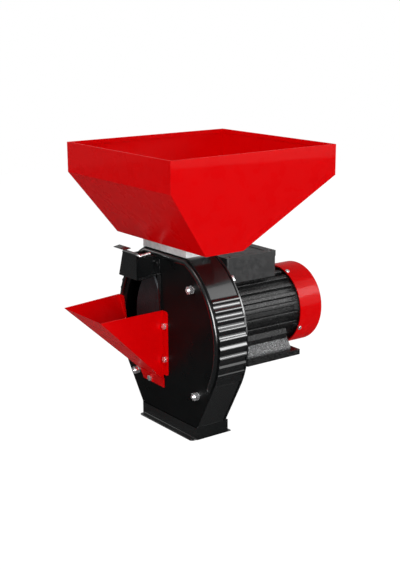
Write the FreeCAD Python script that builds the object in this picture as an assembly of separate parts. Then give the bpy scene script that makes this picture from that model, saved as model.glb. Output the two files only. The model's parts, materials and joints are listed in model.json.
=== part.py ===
import FreeCAD, Part
import math
import os

# Electric hammer mill for grain with a side feed tray, millimetres, +Z up.
# Origin: centre of the outlet opening on the plane that the outlet flange rests on.
# +Y runs from the front cover towards the motor, +X to the right seen from the front.

V = FreeCAD.Vector
PARTS = "parts"

# General
SHEET = 2.0                 # drum, cover and duct sheet
SEAT = 0.3                  # gap between pieces that only lie beside each other
RUN_FIT = 0.05              # radial clearance of a running fit
MOVE_GAP = 0.4              # clearance beside anything that slides or swings

# Shaft line, an IEC 80 frame motor
SHAFT_X = -6.0
SHAFT_Z = 187.0
SHAFT_HEIGHT = 80.0         # foot underside to shaft axis
SHAFT_END_R = 9.5
BEARING_BORE_R = 10.0
BEARING_R = 23.5
BEARING_W = 14.0
RACE_IN_R = 14.5
RACE_OUT_R = 19.0

# Drum
DRUM_Z = 179.0
DRUM_R = 156.0
DRUM_TOP = 321.5            # flat top under the hopper neck
DRUM_FOOT = 24.0            # where the drum's side sheets meet the outlet duct
FOOT_HALF = 86.0
COVER_Y = -34.0             # front face of the cover sheet
BACK_Y = 24.0               # front face of the back plate
BACK_T = 3.0
COVER_INSET = 3.0           # cover edge inside the drum edge
RIB_PITCH = 6.0             # degrees
RIB_COUNT = 10
RIB_TOP_ANGLE = 33.15        # degrees above the drum centre where the ribs start
RIB_H = 2.6
BEAD_OUT = 6.0              # cover bead, outer edge inside the drum edge
BEAD_W = 8.5
BEAD_H = 3.0
BEAD_STEP = 1.1             # the bead narrows by this on each side towards its crest

# Outlet duct
OUT_HALF_X = FOOT_HALF
OUT_Y0 = -34.0
OUT_Y1 = 34.0
LIP_FRONT = 11.0
LIP_BACK = 7.0

# Hopper
HOP_X = 160.0
HOP_Y0 = -134.5
HOP_Y1 = 210.5
HOP_TOP = 507.0
HOP_RIM = 454.0
HOP_LOW = 340.0
HOP_LOW_X = 135.5
HOP_LOW_Y0 = -50.0
HOP_LOW_Y1 = 28.0
HOP_T = 1.5
HEM = 2.2                   # folded top edge, total thickness

# Neck between drum and hopper
NECK_X0 = -76.0
NECK_X1 = 56.0
NECK_Y0 = -33.0
NECK_Y1 = 24.0
NECK_T = 2.0
GATE_Z = 330.0
GATE_T = 2.0

# Feed window and tray on the front cover
WIN_X1 = -24.0
WIN_Z0 = 92.0
WIN_Z1 = 277.0
WIN_R = 133.0
TRAY_T = 1.5
TRAY_TOP = 214.0
TRAY_LIP_Y = -166.0
TRAY_LIP_X0 = -136.0
TRAY_LIP_X1 = -9.0
TRAY_X0 = -162.0
TRAY_X1 = -15.0
TRAY_LOW_X0 = -91.0
TRAY_LOW_Z = 85.0
TRAY_FLANGE = 16.0

# Feed hood with its hinged flap
HOOD_X0 = -92.0
HOOD_X1 = -34.0
HOOD_Y = -73.0
HOOD_Z0 = 271.0
HOOD_Z1 = 313.0
HOOD_T = 1.5
PIN_R = 2.4
PIN_Z = 315.5
PIN_Y = -71.5
FLAP_T = 1.5
FLAP_TAB_X0 = -111.0
EAR_R = PIN_R + RUN_FIT + 0.85

# Rotor
HAMMER_TIP_R = 120.0
HAMMER_PIN_R = 68.0         # pitch radius of the hammer pins
HAMMER_T = 4.0
HAMMER_W = 26.0
HAMMER_PIN = 5.0
DISC_R = 82.0
DISC_T = 4.0
SCREEN_R = 128.0
SCREEN_T = 1.5

# Motor
BODY_R = 65.0
FIN_R = 72.0
FIN_COUNT = 40
BODY_Y0 = 52.0
BODY_Y1 = 201.0
STATOR_R = 59.0
STATOR_Y0 = 84.0
STATOR_Y1 = 172.0
ROTOR_CORE_R = 34.0
AIR_GAP = 0.5
FOOT_HALF_X = 79.0
FOOT_T = 10.0
FOOT_Y0 = 89.0
FOOT_Y1 = 213.0
FOOT_A = 125.0              # hole spacing across
FOOT_B = 100.0              # hole spacing along
FOOT_HOLE_R = 5.0
TBOX_X0 = -54.0
TBOX_X1 = 44.5
TBOX_Y0 = 64.0
TBOX_Y1 = 177.0
TBOX_Z0 = 258.0
TBOX_Z1 = 298.0
TBOX_LID = 7.0
FANCOVER_R = 71.0
FANCOVER_Y0 = 218.0
FANCOVER_Y1 = 275.0
COWL_T = 1.5
FLANGE_PCD_R = 74.0


def box(x0, y0, z0, x1, y1, z1):
    return Part.makeBox(x1 - x0, y1 - y0, z1 - z0, V(x0, y0, z0))


def rod(radius, start, end):
    direction = end.sub(start)
    return Part.makeCylinder(radius, direction.Length, start, direction)


def rod_y(radius, y0, y1, x=SHAFT_X, z=SHAFT_Z):
    return Part.makeCylinder(radius, y1 - y0, V(x, y0, z), V(0, 1, 0))


def ring_y(outer, inner, y0, y1, x=SHAFT_X, z=SHAFT_Z):
    return rod_y(outer, y0, y1, x, z).cut(rod_y(inner, y0 - 1, y1 + 1, x, z))


def prism_y(points, y0, y1):
    """Extrude a closed outline of (x, z) points along Y."""
    wire = Part.makePolygon([V(x, y0, z) for x, z in points] + [V(points[0][0], y0, points[0][1])])
    return Part.Face(wire).extrude(V(0, y1 - y0, 0))


def prism_x(points, x0, x1):
    """Extrude a closed outline of (y, z) points along X."""
    wire = Part.makePolygon([V(x0, y, z) for y, z in points] + [V(x0, points[0][0], points[0][1])])
    return Part.Face(wire).extrude(V(x1 - x0, 0, 0))


def fuse(shapes):
    result = shapes[0].fuse(shapes[1:]) if len(shapes) > 1 else shapes[0]
    return result.removeSplitter()


def cut_all(shape, tools):
    for tool in tools:
        shape = shape.cut(tool)
    return shape


def hexagon_y(across_flats, y0, y1, x, z, turn=0.0):
    radius = across_flats / math.sqrt(3)
    points = [(x + radius * math.cos(math.radians(60 * i + turn)),
               z + radius * math.sin(math.radians(60 * i + turn))) for i in range(6)]
    return prism_y(points, y0, y1)


def save(name, shapes):
    solids = []
    for shape in shapes if isinstance(shapes, list) else [shapes]:
        solids.extend(shape.Solids)
    if not solids:
        raise ValueError(name + " has no solid")
    for solid in solids:
        if not solid.isValid():
            raise ValueError(name + " has an invalid solid")
    result = solids[0] if len(solids) == 1 else Part.makeCompound(solids)
    result.exportStep(os.path.join(PARTS, name + ".step"))
    return result


def polar(radius, degrees, cx=SHAFT_X, cz=SHAFT_Z):
    angle = math.radians(degrees)
    return cx + radius * math.cos(angle), cz + radius * math.sin(angle)


def arc(cx, cz, radius, a0, a1, y):
    """Arc from a0 to a1 degrees through the angle halfway between them."""
    ends = [polar(radius, a, cx, cz) for a in (a0, (a0 + a1) / 2.0, a1)]
    return Part.Arc(*[V(x, y, z) for x, z in ends]).toShape()


def line(p, q, y):
    return Part.LineSegment(V(p[0], y, p[1]), V(q[0], y, q[1])).toShape()


def drum_wire(inset, y, ribbed=False, foot_drop=0.0):
    """Drum outline: a circle cut flat on top, with tangent sides down to the outlet."""
    radius = DRUM_R - inset
    top = DRUM_TOP - inset
    foot_z = DRUM_FOOT - foot_drop
    flat_angle = math.degrees(math.asin((top - DRUM_Z) / radius))
    feet = {}
    for side in (1, -1):
        fx = side * (FOOT_HALF - inset)
        dx = fx - SHAFT_X
        dz = foot_z - DRUM_Z
        reach = math.hypot(dx, dz)
        lean = math.degrees(math.acos(radius / reach))
        angle = math.degrees(math.atan2(dz, dx)) + side * lean
        feet[side] = ((fx, foot_z), angle)
    right_foot, right_angle = feet[1]
    left_foot, left_angle = feet[-1]
    edges = [line(right_foot, polar(radius, right_angle, SHAFT_X, DRUM_Z), y)]
    edges += side_arcs(radius, right_angle, flat_angle, y, ribbed, 0.0)
    edges.append(line(polar(radius, flat_angle, SHAFT_X, DRUM_Z),
                      polar(radius, 180 - flat_angle, SHAFT_X, DRUM_Z), y))
    if left_angle < 0:
        left_angle += 360
    edges += side_arcs(radius, 180 - flat_angle, left_angle, y, ribbed, 180.0)
    edges.append(line(polar(radius, left_angle, SHAFT_X, DRUM_Z), left_foot, y))
    edges.append(line(left_foot, right_foot, y))
    return Part.Wire(Part.__sortEdges__(edges))


def side_arcs(radius, a0, a1, y, ribbed, middle):
    """One round side of the drum, plain or with its pressed ribs."""
    if not ribbed:
        return [arc(SHAFT_X, DRUM_Z, radius, a0, a1, y)]
    start = middle - RIB_TOP_ANGLE if middle else RIB_TOP_ANGLE - RIB_COUNT * RIB_PITCH
    edges = [arc(SHAFT_X, DRUM_Z, radius, a0, start, y)]
    for i in range(RIB_COUNT):
        foot0 = start + i * RIB_PITCH
        foot1 = foot0 + RIB_PITCH * 0.62
        crest = Part.Arc(*[V(x, y, z) for x, z in (
            polar(radius, foot0, SHAFT_X, DRUM_Z),
            polar(radius + RIB_H, (foot0 + foot1) / 2.0, SHAFT_X, DRUM_Z),
            polar(radius, foot1, SHAFT_X, DRUM_Z))])
        edges.append(crest.toShape())
        edges.append(arc(SHAFT_X, DRUM_Z, radius, foot1, foot0 + RIB_PITCH, y))
    edges.append(arc(SHAFT_X, DRUM_Z, radius, start + RIB_COUNT * RIB_PITCH, a1, y))
    return edges


def drum_solid(inset, y0, y1, ribbed=False, foot_drop=0.0):
    return Part.Face(drum_wire(inset, y0, ribbed, foot_drop)).extrude(V(0, y1 - y0, 0))


def bolt_y(radius, across_flats, head, x, z, head_y, tip_y, turn=0.0):
    """Hexagon bolt along Y: the head starts at head_y, the thread ends at tip_y."""
    side = 1 if tip_y > head_y else -1
    seat = head_y + side * head
    shank = rod_y(radius, min(seat, tip_y), max(seat, tip_y), x, z)
    return fuse([hexagon_y(across_flats, min(head_y, seat), max(head_y, seat), x, z, turn), shank])


# Places that several pieces share
COVER_BOLTS = [(74.0, 270.0), (88.0, 83.0), (-100.0, 81.0)]
TRAY_BOLTS = [(-7.0, 187.0), (-7.0, 125.0), (-56.0, 77.0)]
HOOD_BOLTS = [(-27.0, 296.0), (-84.0, 282.0)]
LUG_T = 3.0
FLANGE_ANGLES = [45, 135, 225, 315]
BOLT_R = 3.0
BOLT_HOLE_R = 3.4
BOLT_PROUD = 0.8            # short bolt tips behind the cover, clear of the cutter disc


def holes_y(places, radius, y0, y1):
    return [rod_y(radius, y0, y1, x, z) for x, z in places]


def front_cover():
    sheet = drum_solid(COVER_INSET, COVER_Y, COVER_Y + SHEET)
    tray_gap = box(-300, COVER_Y - 10, TRAY_LOW_Z - 25, -60, COVER_Y, TRAY_TOP + 1)
    beads = []
    for step, height in ((0.0, BEAD_H / 2.0), (BEAD_STEP, BEAD_H)):
        ring = drum_solid(BEAD_OUT + step, COVER_Y - height, COVER_Y)
        core = drum_solid(BEAD_OUT + BEAD_W - step, COVER_Y - height - 1, COVER_Y + 1, foot_drop=BEAD_W)
        beads.append(ring.cut(core).cut(tray_gap))
    window = prism_y([(WIN_X1, WIN_Z0), (WIN_X1, WIN_Z1), (-200, WIN_Z1), (-200, WIN_Z0)],
                     COVER_Y - 10, COVER_Y + 10)
    window = window.common(rod_y(WIN_R, COVER_Y - 10, COVER_Y + 10, SHAFT_X, DRUM_Z))
    cover = fuse([sheet] + beads)
    cover = cut_all(cover, [window] + holes_y(COVER_BOLTS, BOLT_HOLE_R + 0.6, -60, 0)
                    + holes_y(TRAY_BOLTS + HOOD_BOLTS, BOLT_HOLE_R, -60, 0))
    return cover


def drum_shell():
    y0 = COVER_Y + SHEET
    shell = drum_solid(0, y0, BACK_Y, ribbed=True)
    shell = shell.cut(drum_solid(SHEET, y0 - 1, BACK_Y + 1, foot_drop=3))
    inlet = box(NECK_X0 + 8, NECK_Y0 + 6, DRUM_TOP - 20, NECK_X1 - 8, NECK_Y1 - 6, DRUM_TOP + 5)
    lugs = []
    for x, z in COVER_BOLTS:
        reach = math.hypot(x - SHAFT_X, z - DRUM_Z)
        lug = box(reach - 8, y0, -9, DRUM_R + 20, y0 + LUG_T, 9)
        lug.rotate(V(0, 0, 0), V(0, 1, 0), -math.degrees(math.atan2(z - DRUM_Z, x - SHAFT_X)))
        lug.translate(V(SHAFT_X, 0, DRUM_Z))
        lugs.append(lug.common(drum_solid(SHEET / 2.0, y0, y0 + LUG_T)))
    shell = fuse([shell.cut(inlet)] + lugs)
    return cut_all(shell, holes_y(COVER_BOLTS, BOLT_R, -60, 0))


def back_plate():
    plate = drum_solid(-2.0, BACK_Y, BACK_Y + BACK_T)
    centre = rod_y(34.0, BACK_Y - 5, BACK_Y + 10)
    flange = [polar(FLANGE_PCD_R, a) for a in FLANGE_ANGLES]
    return cut_all(plate, [centre] + holes_y(flange, BOLT_HOLE_R, BACK_Y - 5, BACK_Y + 10))


def cover_studs():
    return [rod_y(BOLT_R, COVER_Y - 12, COVER_Y + SHEET + LUG_T + 1.0, x, z) for x, z in COVER_BOLTS]


def cover_nuts():
    nuts = []
    for x, z in COVER_BOLTS:
        washer = ring_y(6.8, BOLT_R, COVER_Y - 1.6, COVER_Y, x, z)
        nut = hexagon_y(13.0, COVER_Y - 8.6, COVER_Y - 1.6, x, z, 12.0)
        nuts.append(fuse([washer, nut]).cut(rod_y(BOLT_R, COVER_Y - 20, COVER_Y, x, z)))
    return nuts


def outlet_duct():
    outer = box(-OUT_HALF_X, OUT_Y0, 0, OUT_HALF_X, OUT_Y1, DRUM_FOOT)
    inner = box(-OUT_HALF_X + SHEET, OUT_Y0 + SHEET, -1, OUT_HALF_X - SHEET, OUT_Y1 - SHEET, DRUM_FOOT + 1)
    front = box(-OUT_HALF_X + 4, OUT_Y0 - LIP_FRONT, 0, OUT_HALF_X - 2, OUT_Y0, SHEET)
    corner = [e for e in front.Edges if abs(e.Vertexes[0].X - e.Vertexes[-1].X) < 1e-6
              and abs(e.Vertexes[0].Y - (OUT_Y0 - LIP_FRONT)) < 1e-6
              and abs(e.Vertexes[-1].Y - (OUT_Y0 - LIP_FRONT)) < 1e-6]
    front = front.makeFillet(6.0, corner)
    back = box(-OUT_HALF_X, OUT_Y1, 0, OUT_HALF_X, OUT_Y1 + LIP_BACK, SHEET)
    shelf = box(-OUT_HALF_X, BACK_Y + BACK_T, DRUM_FOOT - SHEET, OUT_HALF_X, OUT_Y1, DRUM_FOOT)
    return fuse([outer.cut(inner), front, back, shelf])


def frustum(low, high):
    """Solid with flat sides between two level rectangles, each (x0, y0, x1, y1, z)."""
    corners = []
    for x0, y0, x1, y1, z in (low, high):
        corners.append([V(x0, y0, z), V(x1, y0, z), V(x1, y1, z), V(x0, y1, z)])
    foot, top = corners
    loops = [foot, top]
    for i in range(4):
        j = (i + 1) % 4
        loops.append([foot[i], foot[j], top[j], top[i]])
    faces = [Part.Face(Part.makePolygon(loop + [loop[0]])) for loop in loops]
    solid = Part.makeSolid(Part.makeShell(faces))
    if solid.Volume < 0:
        solid.reverse()
    return solid


def hopper():
    def shell_of(t):
        low = (-HOP_LOW_X + t, HOP_LOW_Y0 + t, HOP_LOW_X - t, HOP_LOW_Y1 - t, HOP_LOW)
        rim = (-HOP_X + t, HOP_Y0 + t, HOP_X - t, HOP_Y1 - t, HOP_RIM)
        cone = frustum(low, rim)
        wall = box(-HOP_X + t, HOP_Y0 + t, HOP_RIM, HOP_X - t, HOP_Y1 - t, HOP_TOP)
        return cone.fuse(wall)
    body = shell_of(0.0).cut(shell_of(HOP_T))
    hem = box(-HOP_X, HOP_Y0, HOP_TOP - 8, HOP_X, HOP_Y1, HOP_TOP)
    hem = hem.cut(box(-HOP_X + HEM, HOP_Y0 + HEM, HOP_TOP - 9, HOP_X - HEM, HOP_Y1 - HEM, HOP_TOP + 1))
    floor = shell_of(0.0).common(box(-300, -300, HOP_LOW, 300, 300, HOP_LOW + HOP_T))
    solid = fuse([body, hem, floor])
    mouth = box(NECK_X0 + 4, NECK_Y0 + 4, HOP_LOW - 1, NECK_X1 - 4, NECK_Y1 - 4, HOP_LOW + HOP_T + 1)
    holes = [Part.makeCylinder(BOLT_HOLE_R, 10, V(x, y, HOP_LOW - 3), V(0, 0, 1)) for x, y in neck_bolts()]
    return cut_all(solid, [mouth] + holes)


def neck_bolts():
    return [(x, y) for x in (NECK_X0 - 8, NECK_X1 + 8) for y in (-20.0, 12.0)]


def hopper_neck():
    outer = box(NECK_X0, NECK_Y0, DRUM_TOP - 5, NECK_X1, NECK_Y1, HOP_LOW)
    inner = box(NECK_X0 + NECK_T, NECK_Y0 + NECK_T, DRUM_TOP - 6, NECK_X1 - NECK_T, NECK_Y1 - NECK_T, HOP_LOW + 1)
    frame = outer.cut(inner).cut(drum_solid(0, COVER_Y - 5, BACK_Y + BACK_T))
    ears = [box(NECK_X0 - 16, NECK_Y0, HOP_LOW - NECK_T, NECK_X0, NECK_Y1, HOP_LOW),
            box(NECK_X1, NECK_Y0, HOP_LOW - NECK_T, NECK_X1 + 16, NECK_Y1, HOP_LOW)]
    rails = [box(NECK_X0 + NECK_T, NECK_Y0 + NECK_T, GATE_Z - SEAT - 3, NECK_X0 + 8, NECK_Y1 - NECK_T, GATE_Z - SEAT),
             box(NECK_X1 - 8, NECK_Y0 + NECK_T, GATE_Z - SEAT - 3, NECK_X1 - NECK_T, NECK_Y1 - NECK_T, GATE_Z - SEAT)]
    neck = fuse([frame] + ears + rails)
    slot = box(NECK_X0 + 3, NECK_Y1 - 5, GATE_Z - SEAT, NECK_X1 - 3, NECK_Y1 + 5, GATE_Z + GATE_T + SEAT)
    holes = [Part.makeCylinder(BOLT_HOLE_R, 10, V(x, y, HOP_LOW - 5), V(0, 0, 1)) for x, y in neck_bolts()]
    return cut_all(neck, [slot] + holes)


def neck_screws():
    screws = []
    for x, y in neck_bolts():
        head = Part.makeCylinder(5.0, 3.0, V(x, y, HOP_LOW + HOP_T), V(0, 0, 1))
        shank = Part.makeCylinder(BOLT_R, 12.0, V(x, y, HOP_LOW + HOP_T - 12.0), V(0, 0, 1))
        nut = Part.makeCylinder(5.5, 4.0, V(x, y, HOP_LOW - NECK_T - 4.0), V(0, 0, 1))
        screws.append(fuse([head, shank, nut]))
    return screws


def slide_gate():
    x0 = NECK_X0 + NECK_T + MOVE_GAP + 1
    x1 = NECK_X1 - NECK_T - MOVE_GAP - 1
    plate = box(x0, NECK_Y0 + NECK_T + MOVE_GAP, GATE_Z, x1, NECK_Y1 + 3, GATE_Z + GATE_T)
    mid = (x0 + x1) / 2.0
    tongue = box(mid - 22, NECK_Y1, GATE_Z, mid + 22, NECK_Y1 + 24, GATE_Z + GATE_T)
    grip = box(mid - 22, NECK_Y1 + 22, GATE_Z - 16, mid + 22, NECK_Y1 + 24, GATE_Z + GATE_T)
    return fuse([plate, tongue, grip])


def feed_tray():
    """Pyramid scoop: its floor falls from the lip to the window, two walls stand at its sides."""
    y_back = COVER_Y
    lip0 = V(TRAY_LIP_X0, TRAY_LIP_Y, TRAY_TOP)
    lip1 = V(TRAY_LIP_X1, TRAY_LIP_Y, TRAY_TOP)
    top0 = V(TRAY_X0, y_back, TRAY_TOP)
    top1 = V(TRAY_X1, y_back, TRAY_TOP)
    low0 = V(TRAY_LOW_X0, y_back, TRAY_LOW_Z)
    low1 = V(TRAY_X1, y_back, TRAY_LOW_Z)
    drop = TRAY_T * 1.45

    def solid_of(points, faces):
        shells = [Part.Face(Part.makePolygon([points[i] for i in f] + [points[f[0]]])) for f in faces]
        return Part.makeSolid(Part.makeShell(shells))

    def scoop(l0, l1, t0, t1, b0, b1):
        points = [l0, l1, t0, t1, b0, b1]
        faces = [(0, 1, 3, 2), (0, 4, 5, 1), (0, 2, 4), (1, 5, 3), (2, 3, 5, 4)]
        solid = solid_of(points, faces)
        if solid.Volume < 0:
            solid.reverse()
        return solid

    outer = scoop(lip0, lip1, top0, top1, low0, low1)
    side = V(TRAY_T, 0, 0)
    lift = V(0, 0, drop)
    ahead = V(0, -3, 3)
    inner = scoop(lip0 + side + ahead, lip1 - side + ahead, top0 + side + V(0, 3, 3), top1 - side + V(0, 3, 3),
                  low0 + side + lift + V(0, 3, -3), low1 - side + lift + V(0, 3, -3))
    body = outer.cut(inner)
    top_trim = box(-300, -300, TRAY_TOP, 300, 0, TRAY_TOP + 50)
    body = body.cut(top_trim)
    right = box(TRAY_X1 - TRAY_T, y_back - TRAY_T, TRAY_LOW_Z + 10, TRAY_X1 + TRAY_FLANGE, y_back, TRAY_TOP)
    corner = [e for e in right.Edges if abs(e.Length - TRAY_T) < 1e-6
              and abs(e.Vertexes[0].X - (TRAY_X1 + TRAY_FLANGE)) < 1e-6]
    right = right.makeFillet(6.0, corner)
    low = prism_y([(TRAY_LOW_X0, TRAY_LOW_Z + 2), (TRAY_LOW_X0 + 12, TRAY_LOW_Z - 14),
                   (TRAY_X1 + 2, TRAY_LOW_Z - 15), (TRAY_X1 + 2, TRAY_LOW_Z + 2)], y_back - TRAY_T, y_back)
    left = prism_y([(TRAY_X0, TRAY_TOP), (TRAY_X0 + 18, TRAY_TOP), (TRAY_X0 + 34, TRAY_LOW_Z + 55),
                    (TRAY_X0 + 25, TRAY_LOW_Z + 55)], y_back - TRAY_T, y_back)
    tray = fuse([body, right, low, left])
    return cut_all(tray, holes_y(TRAY_BOLTS, BOLT_HOLE_R, -60, 0))


def tray_bolts():
    return [bolt_y(BOLT_R, 10.0, 4.0, x, z, COVER_Y - TRAY_T - 4.0, COVER_Y + SHEET + BOLT_PROUD, 15.0)
            for x, z in TRAY_BOLTS]


def feed_hood():
    """Two cheeks that stand out from the cover above the tray and carry the hinge pin."""
    foot_z = WIN_Z1 + 1.0
    behind = COVER_Y - BEAD_H - SEAT
    foot_top = DRUM_TOP - BEAD_OUT - BEAD_W - SEAT
    right = prism_x([(COVER_Y, HOOD_Z0 + 5), (HOOD_Y, HOOD_Z0), (HOOD_Y, PIN_Z + 4), (PIN_Y + 6, PIN_Z + 4),
                     (PIN_Y + 10, HOOD_Z1 - 2), (behind, HOOD_Z1 - 2), (behind, foot_top), (COVER_Y, foot_top)],
                    HOOD_X1, HOOD_X1 + HOOD_T)
    foot = box(HOOD_X1, COVER_Y - HOOD_T, foot_z, HOOD_X1 + 13, COVER_Y, foot_top)
    lip = prism_x([(COVER_Y, HOOD_Z0 + 5), (HOOD_Y + 2, HOOD_Z0), (HOOD_Y + 2, HOOD_Z0 + HOOD_T),
                   (COVER_Y, HOOD_Z0 + 5 + HOOD_T)], HOOD_X1, HOOD_X1 + 6)
    jamb = box(WIN_X1 - 1.5, COVER_Y - 4.0, TRAY_TOP + SEAT, WIN_X1 + 1.5, COVER_Y, foot_z + 1.0)
    x0 = HOOD_X0 - HOOD_T
    notch_y = PIN_Y + 15.5
    notch_z = PIN_Z - 12.0
    left = prism_x([(behind, foot_z), (COVER_Y, foot_z), (COVER_Y, foot_z + 8), (behind, foot_z + 8),
                    (behind, HOOD_Z1 - 2), (notch_y, HOOD_Z1 - 2), (notch_y, notch_z),
                    (PIN_Y + EAR_R, notch_z), (PIN_Y + EAR_R, PIN_Z), (PIN_Y - EAR_R, PIN_Z),
                    (PIN_Y - EAR_R, HOOD_Z0), (behind, HOOD_Z0 + 5)], x0, HOOD_X0)
    ear = rod(EAR_R, V(x0, PIN_Y, PIN_Z), V(HOOD_X0, PIN_Y, PIN_Z))
    left_foot = box(x0, COVER_Y - HOOD_T, foot_z, x0 + 14, COVER_Y, foot_z + 8)
    solids = [fuse([right, foot, lip, jamb]), fuse([left, ear, left_foot])]
    bore = rod(PIN_R, V(HOOD_X0 - 20, PIN_Y, PIN_Z), V(HOOD_X1 + 20, PIN_Y, PIN_Z))
    return [cut_all(s, [bore] + holes_y(HOOD_BOLTS, BOLT_HOLE_R, -60, 0)) for s in solids]


def hood_screws():
    return [bolt_y(BOLT_R, 8.0, 3.0, x, z, COVER_Y - HOOD_T - 3.0, COVER_Y + SHEET + BOLT_PROUD)
            for x, z in HOOD_BOLTS]


def hinge_pin():
    start = V(HOOD_X0 - HOOD_T - 3, PIN_Y, PIN_Z)
    knee = V(HOOD_X1 + HOOD_T + 4, PIN_Y, PIN_Z)
    tail = V(knee.x, PIN_Y + 21, PIN_Z + 2.0)
    corner = Part.makeSphere(PIN_R, knee)
    return fuse([rod(PIN_R, start, knee), corner, rod(PIN_R, knee, tail)])


def feed_flap():
    x0 = HOOD_X0 + MOVE_GAP
    x1 = HOOD_X1 - MOVE_GAP
    knuckle = rod(PIN_R + RUN_FIT + 1.4, V(x0, PIN_Y, PIN_Z), V(x1, PIN_Y, PIN_Z))
    face_y = PIN_Y - PIN_R - RUN_FIT - 1.4
    face = box(x0, face_y, HOOD_Z0, x1, face_y + FLAP_T, PIN_Z)
    hem = box(x1 - FLAP_T, face_y, HOOD_Z0, x1, face_y + 5, PIN_Z - 8)
    rise = PIN_R + RUN_FIT + 0.2
    blade = [(PIN_Y - 3.0, PIN_Z + rise), (PIN_Y + 10.0, PIN_Z + rise + 5.5),
             (PIN_Y + 10.0, PIN_Z + rise + 5.5 + FLAP_T), (PIN_Y - 3.0, PIN_Z + rise + FLAP_T)]
    tab = prism_x(blade, FLAP_TAB_X0, x1)
    flap = fuse([knuckle, face, hem, tab])
    bore = rod(PIN_R + RUN_FIT, V(x0 - 1, PIN_Y, PIN_Z), V(x1 + 1, PIN_Y, PIN_Z))
    return flap.cut(bore)


def screen():
    """Perforated sieve round the lower part of the rotor."""
    y0 = COVER_Y + SHEET + 1.0
    y1 = BACK_Y - 1.0
    band = ring_y(SCREEN_R + SCREEN_T, SCREEN_R, y0, y1)
    keep = prism_y([(SHAFT_X, SHAFT_Z), (SHAFT_X + 300, SHAFT_Z - 60), (SHAFT_X + 300, -200),
                    (SHAFT_X - 300, -200), (SHAFT_X - 300, SHAFT_Z - 60)], y0, y1)
    band = band.common(keep)
    punches = []
    for i in range(13):
        angle = -90 + (i - 6) * 10.0
        for j in range(3):
            y = y0 + 13 + j * 14.0
            punch = prism_x([(4.2 * math.cos(math.radians(60 * k)), 4.2 * math.sin(math.radians(60 * k)))
                             for k in range(6)], SCREEN_R - 5, SCREEN_R + 7)
            punch.translate(V(0, y, 0))
            punch.rotate(V(0, 0, 0), V(0, 1, 0), -angle)
            punch.translate(V(SHAFT_X, 0, SHAFT_Z))
            punches.append(punch)
    return band.cut(Part.makeCompound(punches))


def screen_rails():
    """Rolled rails welded to the back plate that hold the sieve's outer edge."""
    rails = []
    for side in (1, -1):
        angle = -90 + side * 70
        x, z = polar(SCREEN_R + SCREEN_T + 3.0 + SEAT, angle)
        rails.append(rod_y(3.0, COVER_Y + SHEET + SEAT, BACK_Y, x, z))
    return rails


DISC_FRONT_Y = -12.0
DISC_BACK_Y = 12.0
HUB_R = 20.0


def rotor_discs():
    discs = []
    for y in (DISC_FRONT_Y, DISC_BACK_Y - DISC_T):
        disc = rod_y(DISC_R, y, y + DISC_T)
        holes = [rod_y(HAMMER_PIN, y - 1, y + DISC_T + 1, *polar(HAMMER_PIN_R, 45 + 90 * i)) for i in range(4)]
        discs.append(cut_all(disc, holes + [rod_y(SHAFT_END_R, y - 1, y + DISC_T + 1)]))
    return discs


def rotor_hub():
    return ring_y(HUB_R, SHAFT_END_R, DISC_FRONT_Y + DISC_T, DISC_BACK_Y - DISC_T)


def hammer_pins():
    return [rod_y(HAMMER_PIN, DISC_FRONT_Y - 3, DISC_BACK_Y + 3, *polar(HAMMER_PIN_R, 45 + 90 * i)) for i in range(4)]


def pin_clips():
    clips = []
    for i in range(4):
        x, z = polar(HAMMER_PIN_R, 45 + 90 * i)
        clips.append(ring_y(HAMMER_PIN + 3, HAMMER_PIN, DISC_FRONT_Y - 1.5, DISC_FRONT_Y, x, z))
        clips.append(ring_y(HAMMER_PIN + 3, HAMMER_PIN, DISC_BACK_Y, DISC_BACK_Y + 1.5, x, z))
    return clips


def hammer_planes():
    span = DISC_BACK_Y - DISC_FRONT_Y - 2 * DISC_T
    pitch = span / 2.0
    return [DISC_FRONT_Y + DISC_T + pitch * (i + 0.5) - HAMMER_T / 2.0 for i in range(2)]


def hammer_spacers():
    """Bushes on each pin that keep the two hammers apart and off the discs."""
    spacers = []
    planes = hammer_planes()
    for i in range(4):
        x, z = polar(HAMMER_PIN_R, 45 + 90 * i)
        edges = [DISC_FRONT_Y + DISC_T] + [v for y in planes for v in (y - 0.2, y + HAMMER_T + 0.2)]
        edges.append(DISC_BACK_Y - DISC_T)
        for a, b in zip(edges[::2], edges[1::2]):
            spacers.append(ring_y(HAMMER_PIN + 3, HAMMER_PIN, a, b, x, z))
    return spacers


def hammers(index):
    """The two hammer plates that swing on one pin, with stepped striking ends."""
    angle = 45 + 90 * index
    length = HAMMER_TIP_R - HAMMER_PIN_R
    half = HAMMER_W / 2.0
    plates = []
    for y in hammer_planes():
        outline = [(-half * 0.8, -half), (length - 6, -half), (length - 6, -half + 5), (length, -half + 5),
                   (length, half - 5), (length - 6, half - 5), (length - 6, half), (-half * 0.8, half)]
        plate = prism_y(outline, y, y + HAMMER_T).cut(rod_y(HAMMER_PIN + RUN_FIT, y - 1, y + HAMMER_T + 1, 0, 0))
        plate.rotate(V(0, 0, 0), V(0, 1, 0), -angle)
        x, z = polar(HAMMER_PIN_R, angle)
        plate.translate(V(x, 0, z))
        plates.append(plate)
    return plates


CUTTER_Y = -23.0
CUTTER_T = 4.0
CUTTER_R = 112.0


def cutter_disc():
    """Slotted disc behind the window that slices roots and cobs before the hammers."""
    disc = ring_y(CUTTER_R, SHAFT_END_R, CUTTER_Y, CUTTER_Y + CUTTER_T)
    slots = []
    for i in range(3):
        slot = box(48, CUTTER_Y - 1, -7, 96, CUTTER_Y + CUTTER_T + 1, 7)
        slot.rotate(V(0, 0, 0), V(0, 1, 0), -120 * i)
        slot.translate(V(SHAFT_X, 0, SHAFT_Z))
        slots.append(slot)
    screws = [rod_y(2.0, CUTTER_Y - 1, CUTTER_Y + CUTTER_T + 1, *p) for p in knife_screw_places()]
    return cut_all(disc, slots + screws)


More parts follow.
